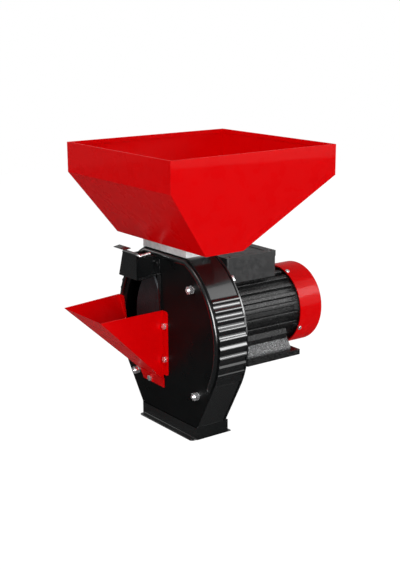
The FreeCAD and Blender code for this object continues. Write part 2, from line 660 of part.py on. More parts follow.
def knife_screw_places():
    places = []
    for i in range(3):
        angle = math.radians(120 * i)
        for along in (54.0, 90.0):
            across = 12.0
            x = along * math.cos(angle) - across * math.sin(angle)
            z = along * math.sin(angle) + across * math.cos(angle)
            places.append((SHAFT_X + x, SHAFT_Z + z))
    return places


def cutter_knives():
    knives = []
    for i in range(3):
        wire = [(CUTTER_Y, 18.0), (CUTTER_Y - 2.0, 18.0), (CUTTER_Y - 2.0, 3.0), (CUTTER_Y, 0.5)]
        knife = prism_x([(y, z) for y, z in wire], 46, 98)
        knife.rotate(V(0, 0, 0), V(0, 1, 0), -120 * i)
        knife.translate(V(SHAFT_X, 0, SHAFT_Z))
        knives.append(knife)
    holes = [rod_y(2.0, CUTTER_Y - 5, CUTTER_Y + 5, *p) for p in knife_screw_places()]
    return [cut_all(k, holes) for k in knives]


def knife_screws():
    return [rod_y(2.0, CUTTER_Y - 3.0, CUTTER_Y + CUTTER_T, *p) for p in knife_screw_places()]


def rotor_sleeve():
    return ring_y(15.0, SHAFT_END_R, CUTTER_Y + CUTTER_T, DISC_FRONT_Y)


def rotor_nut():
    nut = hexagon_y(17.0, CUTTER_Y - 5.5, CUTTER_Y - 1.5, SHAFT_X, SHAFT_Z)
    washer = rod_y(13.0, CUTTER_Y - 1.5, CUTTER_Y)
    return fuse([nut, washer]).cut(rod_y(5.0, CUTTER_Y - 20, CUTTER_Y + 1))


FRONT_BEARING_Y = 34.0
REAR_BEARING_Y = 196.0


def motor_shaft():
    steps = [(5.0, CUTTER_Y - 6.5, CUTTER_Y), (SHAFT_END_R, CUTTER_Y, FRONT_BEARING_Y),
             (BEARING_BORE_R, FRONT_BEARING_Y, FRONT_BEARING_Y + BEARING_W),
             (14.0, FRONT_BEARING_Y + BEARING_W, REAR_BEARING_Y),
             (BEARING_BORE_R, REAR_BEARING_Y, REAR_BEARING_Y + BEARING_W),
             (7.0, REAR_BEARING_Y + BEARING_W, 246.0)]
    return fuse([rod_y(r, a, b) for r, a, b in steps])


def bearing_parts():
    """Sealed ball bearings: two races and the seal between them, which hides the balls."""
    inner, outer, seals = [], [], []
    for y in (FRONT_BEARING_Y, REAR_BEARING_Y):
        inner.append(ring_y(RACE_IN_R, BEARING_BORE_R, y, y + BEARING_W))
        outer.append(ring_y(BEARING_R, RACE_OUT_R, y, y + BEARING_W))
        seals.append(ring_y(RACE_OUT_R, RACE_IN_R + RUN_FIT, y + 1.0, y + BEARING_W - 1.0))
    return inner, outer, seals


def shaft_seal():
    return ring_y(BEARING_R, SHAFT_END_R + RUN_FIT, FRONT_BEARING_Y - 5.0, FRONT_BEARING_Y - SEAT)


def fin_outline():
    """Closed outline of the finned barrel, one pair of points per fin foot and tip."""
    points = []
    pitch = 360.0 / FIN_COUNT
    for i in range(FIN_COUNT):
        a = i * pitch
        points.append(polar(BODY_R, a - pitch * 0.27))
        points.append(polar(FIN_R, a - pitch * 0.15))
        points.append(polar(FIN_R, a + pitch * 0.15))
        points.append(polar(BODY_R, a + pitch * 0.27))
    return points


def motor_housing():
    barrel = prism_y(fin_outline(), BODY_Y0, BODY_Y1)
    foot_z = SHAFT_Z - SHAFT_HEIGHT
    plates = []
    for side in (1, -1):
        xa = SHAFT_X + side * FOOT_HALF_X
        xb = SHAFT_X + side * 42
        plate = box(min(xa, xb), FOOT_Y0, foot_z, max(xa, xb), FOOT_Y1, foot_z + FOOT_T)
        web = prism_y([(SHAFT_X + side * 30, SHAFT_Z - 48), (SHAFT_X + side * 60, SHAFT_Z - 26),
                       (SHAFT_X + side * 56, foot_z + FOOT_T), (SHAFT_X + side * 44, foot_z),
                       (SHAFT_X + side * 42, foot_z + FOOT_T)], FOOT_Y0 + 4, BODY_Y1 - 4)
        plates += [plate, web]
    pad = box(-40, TBOX_Y0 + 8, SHAFT_Z + BODY_R - 6, 31, TBOX_Y1 - 8, TBOX_Z0)
    solid = fuse([barrel, pad] + plates)
    seat = box(TBOX_X0 - 1, TBOX_Y0 - 1, TBOX_Z0, TBOX_X1 + 1, TBOX_Y1 + 1, TBOX_Z0 + 5)
    solid = cut_all(solid, [rod_y(STATOR_R, BODY_Y0 - 1, BODY_Y1 + 40), seat])
    holes = []
    middle = (FOOT_Y0 + FOOT_Y1) / 2.0 - 2.0
    for sx in (1, -1):
        for sy in (1, -1):
            spot = V(SHAFT_X + sx * FOOT_A / 2, middle + sy * FOOT_B / 2, foot_z - 5)
            holes.append(Part.makeCylinder(FOOT_HOLE_R, 30, spot, V(0, 0, 1)))
    return cut_all(solid, holes + [Part.makeCylinder(9, 30, V(SHAFT_X, 120, TBOX_Z0 - 25), V(0, 0, 1))])


def front_shield():
    """Drive-end shield with four lugs that bolt to the drum's back plate."""
    disc = rod_y(68.0, 42.0, BODY_Y0)
    spigot = ring_y(STATOR_R, STATOR_R - 6, BODY_Y0, BODY_Y0 + 6)
    neck = Part.makeCone(52.0, 60.0, 8.0, V(SHAFT_X, 34.0, SHAFT_Z), V(0, 1, 0))
    flange = rod_y(60.0, BACK_Y + BACK_T, 34.0)
    hub = rod_y(32.0, 42.0, FRONT_BEARING_Y + BEARING_W + 6)
    lugs = []
    for a in FLANGE_ANGLES:
        x, z = polar(FLANGE_PCD_R, a)
        lugs.append(rod_y(11.0, BACK_Y + BACK_T, 36.0, x, z))
        arm = box(40, BACK_Y + BACK_T, -11, FLANGE_PCD_R, 36.0, 11)
        arm.rotate(V(0, 0, 0), V(0, 1, 0), -a)
        arm.translate(V(SHAFT_X, 0, SHAFT_Z))
        lugs.append(arm)
    solid = fuse([flange, neck, disc, hub, spigot] + lugs)
    holes = holes_y([polar(FLANGE_PCD_R, a) for a in FLANGE_ANGLES], BOLT_HOLE_R, 0, 60)
    bores = [rod_y(BEARING_R, FRONT_BEARING_Y - 5, FRONT_BEARING_Y + BEARING_W),
             rod_y(17.0, BACK_Y - 5, 80)]
    return cut_all(solid, holes + bores)


def rear_shield():
    disc = rod_y(68.0, BODY_Y1, 211.0)
    dome = rod_y(FANCOVER_R - COWL_T - RUN_FIT, 211.0, FANCOVER_Y0 + 8)
    hub = rod_y(32.0, REAR_BEARING_Y - 4, 211.0)
    spigot = ring_y(STATOR_R, STATOR_R - 6, BODY_Y1 - 6, BODY_Y1)
    solid = fuse([disc, dome, hub, spigot])
    hollow = rod_y(FANCOVER_R - 6.0, 216.0, FANCOVER_Y0 + 20)
    bores = [rod_y(BEARING_R, REAR_BEARING_Y - 5, REAR_BEARING_Y + BEARING_W), rod_y(7.3, 190, 260)]
    return cut_all(solid, [hollow] + bores + cowl_screw_bores(2.0))


def flange_bolts():
    places = [polar(FLANGE_PCD_R, a) for a in FLANGE_ANGLES]
    return [bolt_y(BOLT_R, 12.0, 6.0, x, z, 36.0 + 6.0, BACK_Y - 5.0, 10.0) for x, z in places]


def stator_core():
    return ring_y(STATOR_R, ROTOR_CORE_R + AIR_GAP, STATOR_Y0, STATOR_Y1)


def rotor_core():
    return ring_y(ROTOR_CORE_R, 14.0, STATOR_Y0, STATOR_Y1)


def windings():
    rings = []
    for y, side in ((STATOR_Y0, -1), (STATOR_Y1, 1)):
        a, b = sorted((y, y + side * 20.0))
        coil = ring_y(55.0, 40.0, a, b)
        outer = [e for e in coil.Edges if e.Length > 100 and abs(e.Vertexes[0].Y - (y + side * 20.0)) < 1e-6]
        rings.append(coil.makeChamfer(5.0, outer))
    return rings


def cooling_fan():
    y0 = 224.0
    hub = ring_y(13.0, 7.0, y0, y0 + 20)
    web = ring_y(56.0, 12.0, y0, y0 + 2.5)
    blades = []
    for i in range(7):
        blade = box(11, y0, -1.2, 56, y0 + 22, 1.2)
        blade.rotate(V(0, 0, 0), V(0, 1, 0), -360.0 / 7 * i)
        blade.translate(V(SHAFT_X, 0, SHAFT_Z))
        blades.append(blade)
    fan = fuse([hub, web] + blades)
    return fan.cut(rod_y(7.0, y0 - 1, y0 + 30))


def fan_cover():
    """Pressed cowl with a rounded back edge and a ring grille for the air."""
    outer = rod_y(FANCOVER_R, FANCOVER_Y0, FANCOVER_Y1)
    rear = [e for e in outer.Edges if e.Length > 100 and abs(e.Vertexes[0].Y - FANCOVER_Y1) < 1e-6]
    outer = outer.makeFillet(7.0, rear)
    inner = rod_y(FANCOVER_R - COWL_T, FANCOVER_Y0 - 1, FANCOVER_Y1 - COWL_T)
    rear = [e for e in inner.Edges if e.Length > 100 and abs(e.Vertexes[0].Y - (FANCOVER_Y1 - COWL_T)) < 1e-6]
    inner = inner.makeChamfer(3.5, rear)
    cowl = outer.cut(inner)
    slots = []
    for r0, r1 in ((20.0, 27.0), (32.0, 39.0), (44.0, 51.0)):
        ring = ring_y(r1, r0, FANCOVER_Y1 - 5, FANCOVER_Y1 + 5)
        for i in range(4):
            bar = box(-90, FANCOVER_Y1 - 6, -3, 90, FANCOVER_Y1 + 6, 3)
            bar.rotate(V(0, 0, 0), V(0, 1, 0), 45 * i)
            bar.translate(V(SHAFT_X, 0, SHAFT_Z))
            ring = ring.cut(bar)
        slots.append(ring)
    return cut_all(cowl, slots + cowl_screw_bores(2.2))


COWL_SCREW_ANGLES = [-25, 65, 155, 245]


def cowl_screw_bores(radius):
    y = FANCOVER_Y0 + 4
    bores = []
    for a in COWL_SCREW_ANGLES:
        x0, z0 = polar(FANCOVER_R - 10, a)
        x1, z1 = polar(FANCOVER_R + 10, a)
        bores.append(rod(radius, V(x0, y, z0), V(x1, y, z1)))
    return bores


def cowl_screws():
    screws = []
    for a in COWL_SCREW_ANGLES:
        x0, z0 = polar(FANCOVER_R - 4.5, a)
        x1, z1 = polar(FANCOVER_R, a)
        x2, z2 = polar(FANCOVER_R + 2.0, a)
        y = FANCOVER_Y0 + 4
        screws.append(fuse([rod(2.0, V(x0, y, z0), V(x1, y, z1)), rod(4.0, V(x1, y, z1), V(x2, y, z2))]))
    return screws


def terminal_box():
    shell = box(TBOX_X0, TBOX_Y0, TBOX_Z0, TBOX_X1, TBOX_Y1, TBOX_Z1)
    uprights = [e for e in shell.Edges if abs(e.Length - (TBOX_Z1 - TBOX_Z0)) < 1e-6]
    shell = shell.makeFillet(5.0, uprights)
    hollow = box(TBOX_X0 + 3, TBOX_Y0 + 3, TBOX_Z0 + 3, TBOX_X1 - 3, TBOX_Y1 - 3, TBOX_Z1 + 1)
    posts = [Part.makeCylinder(6, TBOX_Z1 - TBOX_Z0 - 2, V(x, y, TBOX_Z0 + 1), V(0, 0, 1)) for x, y in lid_screw_places()]
    solid = fuse([shell.cut(hollow)] + posts)
    wire_hole = Part.makeCylinder(9, 10, V(SHAFT_X, 120, TBOX_Z0 - 4), V(0, 0, 1))
    gland_hole = rod(8.0, V(TBOX_X0 - 5, GLAND_Y, GLAND_Z), V(TBOX_X0 + 8, GLAND_Y, GLAND_Z))
    taps = [Part.makeCylinder(2.0, 20, V(x, y, TBOX_Z1 - 14), V(0, 0, 1)) for x, y in lid_screw_places()]
    return cut_all(solid, [wire_hole, gland_hole] + taps)


GLAND_Y = 100.0
GLAND_Z = 277.0
GLAND_BORE_R = 4.0


def lid_screw_places():
    return [(x, y) for x in (TBOX_X0 + 9, TBOX_X1 - 9) for y in (TBOX_Y0 + 9, TBOX_Y1 - 9)]


def terminal_lid():
    lid = box(TBOX_X0 - 1, TBOX_Y0 - 1, TBOX_Z1, TBOX_X1 + 1, TBOX_Y1 + 1, TBOX_Z1 + TBOX_LID)
    uprights = [e for e in lid.Edges if abs(e.Length - TBOX_LID) < 1e-6]
    lid = lid.makeFillet(6.0, uprights)
    panel = box(TBOX_X0 + 14, TBOX_Y0 + 16, TBOX_Z1 + TBOX_LID - 1, TBOX_X1 - 14, TBOX_Y1 - 16, TBOX_Z1 + TBOX_LID + 1)
    pockets = [Part.makeCylinder(5.0, 10, V(x, y, TBOX_Z1 + TBOX_LID - 3.5), V(0, 0, 1)) for x, y in lid_screw_places()]
    bores = [Part.makeCylinder(2.3, 20, V(x, y, TBOX_Z1 - 5), V(0, 0, 1)) for x, y in lid_screw_places()]
    return cut_all(lid, [panel] + pockets + bores)


def lid_screws():
    screws = []
    for x, y in lid_screw_places():
        seat = TBOX_Z1 + TBOX_LID - 3.5
        head = Part.makeCylinder(4.0, 2.4, V(x, y, seat), V(0, 0, 1))
        shank = Part.makeCylinder(2.0, 16, V(x, y, seat - 16), V(0, 0, 1))
        screws.append(fuse([head, shank]))
    return screws


def cable_gland():
    """Screwed inlet for the supply lead, on the side of the terminal box."""
    start = V(TBOX_X0 + 6, GLAND_Y, GLAND_Z)
    body = [rod(8.0, start, V(TBOX_X0, GLAND_Y, GLAND_Z)),
            rod(11.0, V(TBOX_X0, GLAND_Y, GLAND_Z), V(TBOX_X0 - 6, GLAND_Y, GLAND_Z)),
            rod(9.5, V(TBOX_X0 - 6, GLAND_Y, GLAND_Z), V(TBOX_X0 - 16, GLAND_Y, GLAND_Z))]
    return fuse(body).cut(rod(GLAND_BORE_R, V(TBOX_X0 + 10, GLAND_Y, GLAND_Z), V(TBOX_X0 - 20, GLAND_Y, GLAND_Z)))


def capacitors():
    caps = []
    for x in (-31.0, 21.0):
        can = Part.makeCylinder(15.0, 54, V(x, TBOX_Y0 + 40, TBOX_Z0 + 3 + 15.0 + SEAT), V(0, 1, 0))
        caps.append(can)
    return caps


def terminal_board():
    board = box(-26, TBOX_Y0 + 5, TBOX_Z0 + 3, 16, TBOX_Y0 + 30, TBOX_Z0 + 9)
    studs = [Part.makeCylinder(2.5, 10, V(-18 + 13 * i, TBOX_Y0 + 17, TBOX_Z0 + 9), V(0, 0, 1)) for i in range(3)]
    return fuse([board] + studs)


def main():
    os.makedirs(PARTS, exist_ok=True)
    inner, outer, seals = bearing_parts()
    nodes = {
        "hopper": hopper(), "hopper_neck": hopper_neck(), "neck_screws": neck_screws(),
        "slide_gate": slide_gate(), "front_cover": front_cover(), "drum_shell": drum_shell(),
        "back_plate": back_plate(), "cover_studs": cover_studs(), "cover_nuts": cover_nuts(),
        "outlet_duct": outlet_duct(), "feed_tray": feed_tray(), "tray_bolts": tray_bolts(),
        "feed_hood": feed_hood(), "hood_screws": hood_screws(), "flap_hinge_pin": hinge_pin(),
        "feed_flap": feed_flap(), "sieve": screen(), "sieve_rails": screen_rails(),
        "rotor_discs": rotor_discs(), "rotor_hub": rotor_hub(), "hammer_pins": hammer_pins(),
        "pin_clips": pin_clips(), "hammer_spacers": hammer_spacers(), "cutter_disc": cutter_disc(),
        "cutter_knives": cutter_knives(), "knife_screws": knife_screws(), "rotor_sleeve": rotor_sleeve(),
        "rotor_nut": rotor_nut(), "motor_shaft": motor_shaft(), "bearing_inner_rings": inner,
        "bearing_outer_rings": outer, "bearing_seals": seals, "shaft_seal": shaft_seal(),
        "motor_housing": motor_housing(), "front_end_shield": front_shield(),
        "rear_end_shield": rear_shield(), "flange_bolts": flange_bolts(), "stator_core": stator_core(),
        "rotor_core": rotor_core(), "stator_windings": windings(), "cooling_fan": cooling_fan(),
        "fan_cover": fan_cover(), "fan_cover_screws": cowl_screws(), "terminal_box": terminal_box(),
        "terminal_box_lid": terminal_lid(), "terminal_lid_screws": lid_screws(),
        "cable_gland": cable_gland(), "capacitors": capacitors(), "terminal_board": terminal_board(),
    }
    for i in range(4):
        nodes["hammer_pair_%d" % (i + 1)] = hammers(i)
    for name, shape in nodes.items():
        save(name, shape)
    print("nodes", len(nodes))


main()
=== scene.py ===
import json
import math

import bmesh
import bpy
from mathutils import Matrix, Vector


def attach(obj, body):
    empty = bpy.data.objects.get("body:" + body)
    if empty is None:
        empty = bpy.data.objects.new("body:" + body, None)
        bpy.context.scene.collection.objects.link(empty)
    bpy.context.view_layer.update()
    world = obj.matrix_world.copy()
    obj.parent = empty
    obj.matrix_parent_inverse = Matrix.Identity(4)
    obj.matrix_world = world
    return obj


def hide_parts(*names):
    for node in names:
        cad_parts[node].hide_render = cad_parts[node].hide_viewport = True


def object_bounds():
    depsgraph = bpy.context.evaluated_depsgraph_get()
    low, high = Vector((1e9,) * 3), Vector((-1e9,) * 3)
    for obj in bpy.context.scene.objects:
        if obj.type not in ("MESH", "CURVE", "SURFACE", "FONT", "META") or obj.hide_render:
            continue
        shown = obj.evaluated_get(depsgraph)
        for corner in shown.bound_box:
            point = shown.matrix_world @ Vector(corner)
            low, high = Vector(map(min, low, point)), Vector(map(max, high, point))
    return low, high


# Electric hammer mill, in metres, in the CAD part's frame.
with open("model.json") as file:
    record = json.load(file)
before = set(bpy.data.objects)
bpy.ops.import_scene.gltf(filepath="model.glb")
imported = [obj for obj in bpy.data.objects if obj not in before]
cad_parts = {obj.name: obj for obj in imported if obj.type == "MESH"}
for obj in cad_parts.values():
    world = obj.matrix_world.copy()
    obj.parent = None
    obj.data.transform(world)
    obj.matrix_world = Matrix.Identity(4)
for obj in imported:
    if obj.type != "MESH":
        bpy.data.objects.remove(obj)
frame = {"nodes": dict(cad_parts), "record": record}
CAD_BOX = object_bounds()
NODES = frame["nodes"]
BODY_OF = {node: body for body, nodes in frame["record"]["behaviour"]["bodies"].items() for node in nodes}
SLOT_OF = {part["node"]: part["material_slot"] for part in frame["record"]["subparts"]}

# Camera that sees what the photograph sees: pixels, millimetres of sensor, metres and degrees
IMAGE_HEIGHT = 570.0
FOCAL_PX = 1085.0
SENSOR = 36.0
CAMERA_PLACE = Vector((1.523, -1.074, 0.732))
CAMERA_AZIMUTH = 53.89
CAMERA_ELEVATION = 14.27
CAMERA_ROLL = -0.006        # radians

# Drum, cover and bead
SHAFT_X, SHAFT_Z = -0.006, 0.187
DRUM_Z = 0.179
DRUM_R = 0.156
DRUM_TOP = 0.3215
DRUM_TOP_EDGE = 0.004
COVER_Y = -0.034
COVER_EDGE_R = 0.1503
COVER_GROWTH = 1.016
BEAD_INSET = 0.0082
BEAD_HALF = 0.0052
BEAD_HEIGHT = 0.0034
BEAD_SINK = 0.0003
BEAD_FULLNESS = 0.8         # under 1 the arch is fuller than a half round
BEAD_END_SHARE = 0.35       # height at the bead's ends, as a share
BEAD_END_RISE = 0.4         # what each step from an end adds to that share
BEAD_FOOT_Z = 0.100
BEAD_TRAY_Z = 0.215
BEAD_LEFT_STEPS = 24
BEAD_RIGHT_STEPS = 48
BEAD_ARCH_STEPS = 12

# Pressed ribs on the drum's round sides, with angles in degrees
RIB_TOP_ANGLE = 33.15
RIB_PITCH = 6.0
RIB_COUNT = 10
RIB_HEIGHT = 0.0026
RIB_SHARPNESS = 1.4
RIB_LIFT = 0.0002
RIB_SINK = 0.0006
RIB_OUTER_STEPS = 16
RIB_INNER_STEPS = 4
RIB_Y0, RIB_Y1 = -0.0325, 0.024
OLD_RIB_FROM, OLD_RIB_TO = 0.0001, 0.004

# Motor: barrel, fins, foot webs and fan cover
BARREL_R = 0.0645
FIN_TIP_R = 0.072
FIN_TIP_SLACK = 0.0002
FIN_COUNT = 24
FIN_PHASE = -1.0
FIN_ROOT_TURN = 4.4
FIN_TIP_TURN = 3.1
FIN_SINK = 0.001
FIN_EDGE = 0.0011
FIN_Y0, FIN_Y1 = 0.052, 0.2155
FIN_LOW_Z = 0.150
BOX_SEAT_Z = 0.2575
FLARE_OUTLINE = [(0.050, -0.046), (0.055, -0.046), (0.069, -0.066), (0.069, -0.071), (0.050, -0.071)]
FLARE_Y0, FLARE_Y1 = 0.097, 0.200
FLARE_EDGE = 0.0012
COWL_R_OLD, COWL_R = 0.071, 0.0755
COWL_Y0_OLD, COWL_Y0 = 0.218, 0.2165
COWL_LENGTH_OLD, COWL_LENGTH = 0.057, 0.056
LID_FOOT_Z = 0.2985
LID_DROP = 0.003

# Feed hood and flap
PIN_Z = 0.3155
HOOD_FOOT_Z = 0.274
HOOD_LEFT_X = -0.085
HOOD_LEAN = 0.014
LEAN_FROM_X = -0.105
TAB_RIGHT_X = -0.072
TAB_FOOT_RISE = 0.003
TAB_RISE_SHARE = 0.4
JAMB_X0, JAMB_X1 = -0.0262, -0.0218
JAMB_Y = -0.0385
JAMB_TOP_Z = 0.2785
JAMB_SHIFT = 0.005

# Hexagon bolts on the back plate: (along, radius) points
BACK_PLATE_Y = 0.027
BACK_BOLT_REACH = 0.143
BACK_BOLT_ANGLES = (45, 135, 225, 315)
BACK_WASHER_PROFILE = [(0.0, 0.0), (0.0, 0.0100), (0.0016, 0.0104), (0.002, 0.0100), (0.002, 0.0)]
BACK_HEAD_PROFILE = [(0.002, 0.0098), (0.0088, 0.0098), (0.0100, 0.0086)]
BACK_HEAD_TURN = 12
BACK_HEAD_EDGE = 0.0004

# Rounded copies: angles in degrees, distances in metres
WELD_DISTANCE = 1e-6
FLAT_ANGLE = 0.6
BEVEL_ANGLE = 28.0
BEVEL_SEGMENTS = 3
SKIN_SMOOTH_ANGLE = 32.0
SKIN_NORMAL_WEIGHT = 60
TURNED_STEPS = 32
TURNED_SMOOTH_ANGLE = 35.0

# Strength of the world and the floor for plain light, for the camera and for mirror-like rays
WORLD_LIGHT = 0.20
WORLD_CAMERA = 1.0
WORLD_GLOSSY = 0.42
FLOOR_HALF = 3.0
FLOOR_GREY = 0.82
FLOOR_CAMERA = 1.09
FLOOR_GLOSSY = 0.05
FLOOR_GLOW_SHARE = 0.9


# Shader helpers
def new_material(name):
    material = bpy.data.materials.new(name)
    material.use_nodes = True
    tree = material.node_tree
    return material, tree, tree.nodes["Principled BSDF"]


def link(tree, source, target):
    tree.links.new(source, target)


def object_coords(tree):
    return tree.nodes.new("ShaderNodeTexCoord").outputs["Object"]


def noise(tree, coords, scale, detail=3.0, rough=0.5):
    node = tree.nodes.new("ShaderNodeTexNoise")
    node.inputs["Scale"].default_value = scale
    node.inputs["Detail"].default_value = detail
    node.inputs["Roughness"].default_value = rough
    link(tree, coords, node.inputs["Vector"])
    return node.outputs["Fac"]


def spread(tree, value, low, high, from_low=0.35, from_high=0.65):
    """Map a noise value onto a plain range."""
    node = tree.nodes.new("ShaderNodeMapRange")
    node.inputs["From Min"].default_value = from_low
    node.inputs["From Max"].default_value = from_high
    node.inputs["To Min"].default_value = low
    node.inputs["To Max"].default_value = high
    link(tree, value, node.inputs["Value"])
    return node.outputs["Result"]


def mix_colours(tree, factor, first, second):
    node = tree.nodes.new("ShaderNodeMix")
    node.data_type = "RGBA"
    node.inputs["A"].default_value = (*first, 1.0)
    node.inputs["B"].default_value = (*second, 1.0)
    link(tree, factor, node.inputs["Factor"])
    return node.outputs["Result"]


def bump(tree, shader, height, strength, distance):
    node = tree.nodes.new("ShaderNodeBump")
    node.inputs["Strength"].default_value = strength
    node.inputs["Distance"].default_value = distance
    link(tree, height, node.inputs["Height"])
    link(tree, node.outputs["Normal"], shader.inputs["Normal"])


def gloss_paint(name, colour, dark, roughness, peel, coat, specular=0.5):
    """Powder coat on sheet steel: slight orange peel, slow colour drift and faint handling dullness."""
    material, tree, shader = new_material(name)
    coords = object_coords(tree)
    drift = spread(tree, noise(tree, coords, scale=9.0, detail=4.0), 0.0, 1.0)
    link(tree, mix_colours(tree, drift, dark, colour), shader.inputs["Base Color"])
    handling = noise(tree, coords, scale=35.0, detail=5.0)
    link(tree, spread(tree, handling, roughness * 0.85, roughness * 1.25), shader.inputs["Roughness"])
    shader.inputs["Specular IOR Level"].default_value = specular
    shader.inputs["Coat Weight"].default_value = coat
    shader.inputs["Coat Roughness"].default_value = 0.06
    bump(tree, shader, noise(tree, coords, scale=900.0, detail=2.0), strength=peel, distance=0.0004)
    return material


def cast_paint(name, colour, glint_colour, roughness, sparse, full):
    """Paint over a rough sand casting: grainy relief, with pale specks painted into its colour as painted
    glints.
    """
    material, tree, shader = new_material(name)
    coords = object_coords(tree)
    grain = noise(tree, coords, scale=620.0, detail=6.0, rough=0.7)
    # The grain noise both raises the relief and places pale specks in the colour: painted glints
    glint_specked = mix_colours(tree, spread(tree, grain, 0.0, 1.0, sparse, full), colour, glint_colour)
    link(tree, glint_specked, shader.inputs["Base Color"])
    patches = noise(tree, coords, scale=240.0)
    link(tree, spread(tree, patches, roughness * 0.7, roughness * 1.3), shader.inputs["Roughness"])
    shader.inputs["Specular IOR Level"].default_value = 0.28
    bump(tree, shader, grain, strength=0.6, distance=0.0011)
    return material


def plain_metal(name, colour, roughness, brushed=0.0, spots=0.0, metallic=1.0):
    """Bare or plated metal with fine scratches and a little cloudy variation."""
    material, tree, shader = new_material(name)
    coords = object_coords(tree)
    shader.inputs["Metallic"].default_value = metallic
    cloud = spread(tree, noise(tree, coords, scale=60.0 + 300.0 * spots, detail=4.0), 0.0, 1.0)
    shade = tuple(channel * 0.82 for channel in colour)
    link(tree, mix_colours(tree, cloud, shade, colour), shader.inputs["Base Color"])
    scuffs = noise(tree, coords, scale=300.0, detail=4.0)
    link(tree, spread(tree, scuffs, roughness * 0.7, roughness * 1.4), shader.inputs["Roughness"])
    stretch = tree.nodes.new("ShaderNodeMapping")
    stretch.inputs["Scale"].default_value = (1.0, 1.0 + 14.0 * brushed, 1.0 + 30.0 * brushed)
    link(tree, coords, stretch.inputs["Vector"])
    scratches = noise(tree, stretch.outputs["Vector"], scale=260.0, detail=4.0)
    bump(tree, shader, scratches, strength=0.12, distance=0.0002)
    return material


def moulded(name, colour, roughness, grain):
    """Moulded plastic or rubber with a fine spark-eroded grain."""
    material, tree, shader = new_material(name)
    coords = object_coords(tree)
    lighter = tuple(min(1.0, channel * 1.5 + 0.004) for channel in colour)
    cloud = spread(tree, noise(tree, coords, scale=40.0, detail=4.0), 0.0, 1.0)
    link(tree, mix_colours(tree, cloud, colour, lighter), shader.inputs["Base Color"])
    patches = noise(tree, coords, scale=120.0)
    link(tree, spread(tree, patches, roughness * 0.85, roughness * 1.15), shader.inputs["Roughness"])
    bump(tree, shader, noise(tree, coords, scale=1500.0, detail=2.0), strength=grain, distance=0.0003)
    return material


MATERIALS = {
    "red_paint": gloss_paint("red_paint", (0.72, 0.0, 0.001), (0.70, 0.0, 0.001),
                             roughness=0.28, peel=0.0, coat=0.09, specular=0.03),
    "black_paint": gloss_paint("black_paint", (0.005, 0.0058, 0.006), (0.004, 0.0046, 0.005),
                               roughness=0.16, peel=0.02, coat=0.3),
    "black_sheet": gloss_paint("black_sheet", (0.0035, 0.0042, 0.0044), (0.0025, 0.003, 0.0032),
                               roughness=0.32, peel=0.03, coat=0.0, specular=0.10),
    # Near-black cast paint whose pale specks are painted glints
    "cast_black": cast_paint("cast_black", (0.0035, 0.0037, 0.0038), (0.22, 0.225, 0.23),
                             roughness=0.34, sparse=0.59, full=0.75),
    # Lighter copy of the cast paint, for the foot webs: painted light on their sloping faces, with brighter
    # specks as painted glints
    "cast_painted_light": cast_paint("cast_painted_light", (0.012, 0.0125, 0.013), (0.55, 0.57, 0.58),
                              roughness=0.32, sparse=0.50, full=0.66),
    "black_plastic": moulded("black_plastic", (0.008, 0.0085, 0.009), roughness=0.42, grain=0.08),
    "galvanised": plain_metal("galvanised", (0.90, 0.93, 0.93), roughness=0.45, spots=0.2, metallic=0.45),
    "zinc": plain_metal("zinc", (0.90, 0.91, 0.92), roughness=0.22, metallic=0.8),
    "steel": plain_metal("steel", (0.46, 0.46, 0.47), roughness=0.34, brushed=1.0),
    # Steel inside the drum, its colour painted near black: painted shade of the unlit drum inside
    "steel_painted_shade": plain_metal("steel_painted_shade", (0.035, 0.037, 0.040), roughness=0.5, brushed=0.4),
    "aluminium": plain_metal("aluminium", (0.80, 0.80, 0.81), roughness=0.28, brushed=0.6),
    "copper": plain_metal("copper", (0.62, 0.27, 0.12), roughness=0.36, brushed=1.0),
    "rubber": moulded("rubber", (0.012, 0.012, 0.012), roughness=0.75, grain=0.15),
}

# Screws that are painted over with the plate they hold
SLOT_SWAP = {"hood_screws": "black_paint"}

# Nodes in a darker finish than their slot's own (the front cover), and steel inside the drum painted near
# black as painted shade of the drum's dark inside
SHEET_BLACK = ["front_cover"]
SHADED_STEEL = ["cutter_disc", "cutter_knives", "knife_screws", "rotor_nut", "rotor_discs", "rotor_hub",
                "sieve", "hammer_pair_1", "hammer_pair_2", "hammer_pair_3", "hammer_pair_4"]


# Changed forms: each function takes one point of a node's copy to its new place
def polar(radius, degrees, cx=SHAFT_X, cz=SHAFT_Z):
    angle = math.radians(degrees)
    return cx + radius * math.cos(angle), cz + radius * math.sin(angle)


def scaled_about(x, z, centre_z, share):
    """Point scaled towards or away from an axis along Y at the shaft's X."""
    return SHAFT_X + (x - SHAFT_X) * share, centre_z + (z - centre_z) * share


def flat_cover(x, y, z):
    """Cover sheet without its stepped bead, brought out towards the drum's edge."""
    if math.hypot(x - SHAFT_X, z - DRUM_Z) > COVER_EDGE_R and z < DRUM_TOP - DRUM_TOP_EDGE:
        x, z = scaled_about(x, z, DRUM_Z, COVER_GROWTH)
    return x, max(y, COVER_Y), z


def bare_barrel(x, y, z):
    """Motor casting whose upper fins are pressed flat, ready for the coarser ones."""
    radius = math.hypot(x - SHAFT_X, z - SHAFT_Z)
    if z > FIN_LOW_Z and BARREL_R < radius < FIN_TIP_R + FIN_TIP_SLACK:
        x, z = scaled_about(x, z, SHAFT_Z, BARREL_R / radius)
    return x, y, z


def smooth_shell(x, y, z):
    """Drum shell with its stiff little ribs pressed flat, ready for the softer pressed ones."""
    radius = math.hypot(x - SHAFT_X, z - DRUM_Z)
    if DRUM_R + OLD_RIB_FROM < radius < DRUM_R + OLD_RIB_TO:
        x, z = scaled_about(x, z, DRUM_Z, DRUM_R / radius)
    return x, y, z


